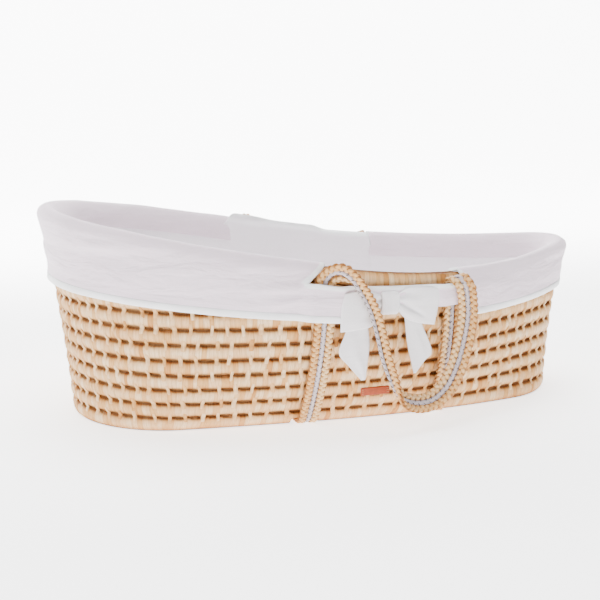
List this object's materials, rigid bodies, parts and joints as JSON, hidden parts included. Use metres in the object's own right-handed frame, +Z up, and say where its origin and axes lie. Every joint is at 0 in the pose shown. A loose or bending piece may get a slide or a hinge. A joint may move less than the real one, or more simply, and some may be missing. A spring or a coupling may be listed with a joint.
{
  "type": "moses basket",
  "caption": "Oval palm moses basket: coiled wall rising to the head end, white cotton cover with bows, braided straps, two hinged carrying handles and a mattress.",
  "frame": {"origin": "on the floor, under the middle of the basket's outline", "axes": "+Z up, +X along the basket to the low foot end, -Y the side whose bow and leather tag face the viewer"},
  "size_m": [0.7994, 0.5162, 0.2935],
  "materials": {
    "palm_coil": "dry palm leaf wrapped round a straw core, matt with a faint sheen",
    "palm_braid": "three-strand braid of dry palm leaf, matt",
    "cotton_cord": "twisted cotton, matt",
    "foam": "soft open-cell foam, matt",
    "mattress_cotton": "white cotton jersey, matt",
    "tag_leather": "tan vegetable-tanned leather, satin",
    "tag_thread": "waxed thread, matt",
    "cotton_trim": "white cotton, matt",
    "cover_cotton": "washed white cotton, matt"
  },
  "bodies": {
    "basket": {"back_bow_foot_loop": "cotton_trim", "back_bow_foot_tail": "cotton_trim", "back_bow_head_loop": "cotton_trim", "back_bow_head_tail": "cotton_trim", "back_bow_knot": "cotton_trim", "back_tie_band": "cover_cotton", "base_mat": "palm_coil", "foot_hem": "cotton_trim", "foot_skirt": "cover_cotton", "foot_strap_cotton_cord": "cotton_cord", "foot_strap_inner_braid": "palm_braid", "foot_strap_outer_braid": "palm_braid", "front_bow_foot_loop": "cotton_trim", "front_bow_foot_tail": "cotton_trim", "front_bow_head_loop": "cotton_trim", "front_bow_head_tail": "cotton_trim", "front_bow_knot": "cotton_trim", "front_tie_band": "cover_cotton", "head_hem": "cotton_trim", "head_skirt": "cover_cotton", "head_strap_cotton_cord": "cotton_cord", "head_strap_inner_braid": "palm_braid", "head_strap_outer_braid": "palm_braid", "leather_tag": "tag_leather", "liner_floor": "cover_cotton", "liner_wall": "cover_cotton", "rim_coil": "palm_coil", "tag_stitches": "tag_thread", "wall_row_01": "palm_coil", "wall_row_02": "palm_coil", "wall_row_03": "palm_coil", "wall_row_04": "palm_coil", "wall_row_05": "palm_coil", "wall_row_06": "palm_coil", "wall_row_07": "palm_coil", "wall_row_08": "palm_coil", "wall_row_09": "palm_coil", "wall_row_10": "palm_coil", "wall_row_11": "palm_coil", "wall_row_12": "palm_coil"},
    "front_handle": {"front_handle_cotton_cord": "cotton_cord", "front_handle_inner_braid": "palm_braid", "front_handle_outer_braid": "palm_braid"},
    "back_handle": {"back_handle_cotton_cord": "cotton_cord", "back_handle_inner_braid": "palm_braid", "back_handle_outer_braid": "palm_braid"},
    "mattress": {"mattress_core": "foam", "mattress_cover": "mattress_cotton"}
  },
  "joints": [
    {"name": "front_handle_hinge", "type": "hinge", "parent": "basket", "child": "front_handle", "pos_m": [0.04129, -0.23859, 0.22], "axis": [-0.9774, -0.2016, 0.0629], "range_deg": [0, 220]},
    {"name": "back_handle_hinge", "type": "hinge", "parent": "basket", "child": "back_handle", "pos_m": [0.04129, 0.23859, 0.22], "axis": [0.9774, -0.2016, -0.0629], "range_deg": [0, 220]},
    {"name": "mattress_lift", "type": "slide", "parent": "basket", "child": "mattress", "axis": [0, 0, 1], "range_m": [0, 0.45]}
  ]
}
